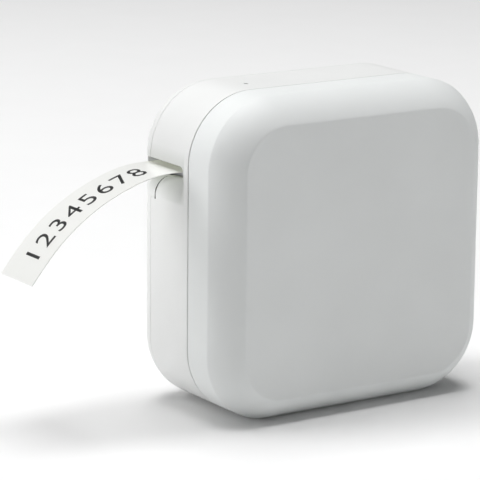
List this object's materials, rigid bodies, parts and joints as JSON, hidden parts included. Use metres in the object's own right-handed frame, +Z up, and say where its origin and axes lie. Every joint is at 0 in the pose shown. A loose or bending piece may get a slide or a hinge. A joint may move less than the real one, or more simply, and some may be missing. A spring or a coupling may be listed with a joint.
{
  "type": "label maker",
  "caption": "Square desk label maker with a convex front, a tape slot in its side, a lift-off back cover, a tape cassette with its print drive and cutter, and a printed label.",
  "frame": {"origin": "middle of the base, on the surface the object stands on", "axes": "+Z up, the flat front face looks along -Y, the printed tape comes out toward -X"},
  "size_m": [0.1936, 0.067, 0.128],
  "materials": {
    "shell_white": "satin",
    "front_white": "satin",
    "button_grey": "satin",
    "foot_rubber": "matte",
    "roller_rubber": "matte",
    "screw_steel": "satin",
    "lens_smoke": "gloss",
    "board_green": "gloss",
    "shield_steel": "satin",
    "battery_wrap": "gloss",
    "wire_red": "gloss",
    "chassis_steel": "satin",
    "bay_plastic": "matte",
    "head_ceramic": "gloss",
    "heatsink_aluminium": "satin",
    "flex_film": "gloss",
    "motor_steel": "satin",
    "gear_white": "satin",
    "brass": "satin",
    "blade_steel": "satin",
    "spring_steel": "satin",
    "cassette_plastic": "matte",
    "cassette_lid_plastic": "matte",
    "spool_white": "satin",
    "spool_black": "satin",
    "film_grey": "gloss",
    "tape_white": "satin"
  },
  "bodies": {
    "housing": {"front_cover": "front_white", "main_housing": "shell_white", "rubber_feet": "foot_rubber", "shell_screws": "screw_steel", "status_led_lens": "lens_smoke", "charge_led_lens": "lens_smoke", "power_switch": "shield_steel", "usb_port": "shield_steel", "io_board": "board_green", "main_pcb": "board_green", "wireless_module": "shield_steel", "pcb_screws": "screw_steel", "battery_pack": "battery_wrap", "battery_lead": "wire_red", "chassis_plate": "chassis_steel", "cassette_bay": "bay_plastic", "print_head": "head_ceramic", "head_heatsink": "heatsink_aluminium", "head_flex_cable": "flex_film", "drive_motor": "motor_steel", "motor_bracket": "chassis_steel", "gear_pins": "screw_steel", "holder_pivot_pin": "screw_steel", "holder_spring": "spring_steel", "cutter_frame": "chassis_steel", "cutter_motor": "motor_steel", "cutter_pins": "screw_steel", "fixed_blade": "blade_steel"},
    "cover": {"back_cover": "shell_white"},
    "release": {"release_button": "button_grey"},
    "power": {"power_button": "button_grey"},
    "holder": {"roller_holder": "chassis_steel"},
    "holder_idler": {"holder_idler_gear": "gear_white"},
    "platen": {"platen_shaft": "screw_steel", "platen_roller": "roller_rubber", "platen_gear": "gear_white"},
    "feed": {"feed_shaft": "screw_steel", "feed_roller": "roller_rubber", "feed_gear": "gear_white"},
    "pinion": {"motor_pinion": "brass"},
    "idler_1": {"idler_gear_1": "gear_white"},
    "idler_2": {"idler_gear_2": "gear_white"},
    "ribbon_drive": {"ribbon_gear": "gear_white", "ribbon_drive_shaft": "spool_white"},
    "blade": {"moving_blade": "blade_steel"},
    "cutter_wheel": {"cutter_gear": "gear_white"},
    "cutter_drive": {"cutter_pinion": "brass"},
    "cassette": {"cassette_base": "cassette_plastic", "cassette_lid": "cassette_lid_plastic", "print_tape": "tape_white"},
    "tape_reel": {"tape_spool": "spool_white", "tape_roll": "tape_white"},
    "film_reel": {"film_spool": "film_grey"},
    "ribbon_supply": {"ribbon_supply_spool": "spool_black"},
    "ribbon_takeup": {"ribbon_takeup_spool": "spool_black"},
    "pinch": {"pinch_roller": "roller_rubber"},
    "label": {"label_strip": "tape_white"}
  },
  "joints": [
    {"name": "cover_lift_off", "type": "slide", "parent": "housing", "child": "cover", "axis": [0, 1, 0], "range_m": [0, 0.1]},
    {"name": "cassette_lift_out", "type": "slide", "parent": "housing", "child": "cassette", "axis": [0, 1, 0], "range_m": [0, 0.045]},
    {"name": "release_press", "type": "slide", "parent": "housing", "child": "release", "axis": [-1, 0, 0], "range_m": [0, 0.0013], "stiffness_N_per_m": 400},
    {"name": "power_press", "type": "slide", "parent": "housing", "child": "power", "axis": [-1, 0, 0], "range_m": [0, 0.0008], "stiffness_N_per_m": 500},
    {"name": "label_pull", "type": "slide", "parent": "housing", "child": "label", "axis": [-1, 0, 0], "range_m": [0, 0.06]},
    {"name": "holder_swing", "type": "hinge", "parent": "housing", "child": "holder", "pos_m": [-0.014, 0, 0.1026], "axis": [0, 1, 0], "range_deg": [0, 8], "stiffness_Nm_per_rad": 1.2, "springref_deg": -5.73, "deforming": ["holder_spring"]},
    {"name": "platen_spin", "type": "hinge", "parent": "holder", "child": "platen", "pos_m": [-0.03, -0.014, 0.1026], "axis": [0, 1, 0], "continuous": true},
    {"name": "feed_spin", "type": "hinge", "parent": "holder", "child": "feed", "pos_m": [-0.042, -0.014, 0.1026], "axis": [0, 1, 0], "continuous": true},
    {"name": "holder_idler_spin", "type": "hinge", "parent": "holder", "child": "holder_idler", "pos_m": [-0.036, -0.012, 0.10944], "axis": [0, 1, 0], "continuous": true},
    {"name": "idler_2_spin", "type": "hinge", "parent": "housing", "child": "idler_2", "pos_m": [-0.03, -0.012, 0.0893], "axis": [0, 1, 0], "continuous": true},
    {"name": "ribbon_drive_spin", "type": "hinge", "parent": "housing", "child": "ribbon_drive", "pos_m": [-0.01553, -0.012, 0.08403], "axis": [0, 1, 0], "continuous": true},
    {"name": "idler_1_spin", "type": "hinge", "parent": "housing", "child": "idler_1", "pos_m": [-0.0412, -0.012, 0.0699], "axis": [0, 1, 0], "continuous": true},
    {"name": "pinion_spin", "type": "hinge", "parent": "housing", "child": "pinion", "pos_m": [-0.0241, -0.012, 0.06368], "axis": [0, 1, 0], "continuous": true},
    {"name": "tape_reel_spin", "type": "hinge", "parent": "cassette", "child": "tape_reel", "pos_m": [0.01, 0, 0.0775], "axis": [0, 1, 0], "continuous": true},
    {"name": "film_reel_spin", "type": "hinge", "parent": "cassette", "child": "film_reel", "pos_m": [-0.02, 0, 0.066], "axis": [0, 1, 0], "continuous": true},
    {"name": "ribbon_supply_spin", "type": "hinge", "parent": "cassette", "child": "ribbon_supply", "pos_m": [-0.037, 0, 0.066], "axis": [0, 1, 0], "continuous": true},
    {"name": "ribbon_takeup_spin", "type": "hinge", "parent": "cassette", "child": "ribbon_takeup", "pos_m": [-0.01553, 0, 0.08403], "axis": [0, 1, 0], "continuous": true},
    {"name": "pinch_spin", "type": "hinge", "parent": "cassette", "child": "pinch", "pos_m": [-0.042, 0, 0.0942], "axis": [0, 1, 0], "continuous": true},
    {"name": "blade_swing", "type": "hinge", "parent": "housing", "child": "blade", "pos_m": [-0.05005, -0.009, 0.0974], "axis": [-1, 0, 0], "range_deg": [0, 17.5]},
    {"name": "cutter_wheel_spin", "type": "hinge", "parent": "housing", "child": "cutter_wheel", "pos_m": [-0.05, -0.02141, 0.10781], "axis": [-1, 0, 0], "range_deg": [-22, 0]},
    {"name": "cutter_drive_spin", "type": "hinge", "parent": "housing", "child": "cutter_drive", "pos_m": [-0.05, -0.02329, 0.09718], "axis": [-1, 0, 0], "range_deg": [0, 44]}
  ],
  "couplings": [
    {"joint": "cassette_lift_out", "follows": "cover_lift_off", "ratio": 0.45},
    {"joint": "feed_spin", "follows": "platen_spin", "ratio": 1},
    {"joint": "holder_idler_spin", "follows": "platen_spin", "ratio": -1.1667},
    {"joint": "idler_2_spin", "follows": "platen_spin", "ratio": -0.58333},
    {"joint": "ribbon_drive_spin", "follows": "platen_spin", "ratio": 0.7},
    {"joint": "idler_1_spin", "follows": "platen_spin", "ratio": 0.35},
    {"joint": "pinion_spin", "follows": "platen_spin", "ratio": -1.1667},
    {"joint": "tape_reel_spin", "follows": "platen_spin", "ratio": -0.26},
    {"joint": "film_reel_spin", "follows": "platen_spin", "ratio": -0.5},
    {"joint": "ribbon_supply_spin", "follows": "platen_spin", "ratio": 0.55},
    {"joint": "ribbon_takeup_spin", "follows": "platen_spin", "ratio": 0.7},
    {"joint": "pinch_spin", "follows": "platen_spin", "ratio": -1.85},
    {"joint": "cutter_wheel_spin", "follows": "blade_swing", "ratio": -1.25},
    {"joint": "cutter_drive_spin", "follows": "blade_swing", "ratio": 2.5}
  ]
}
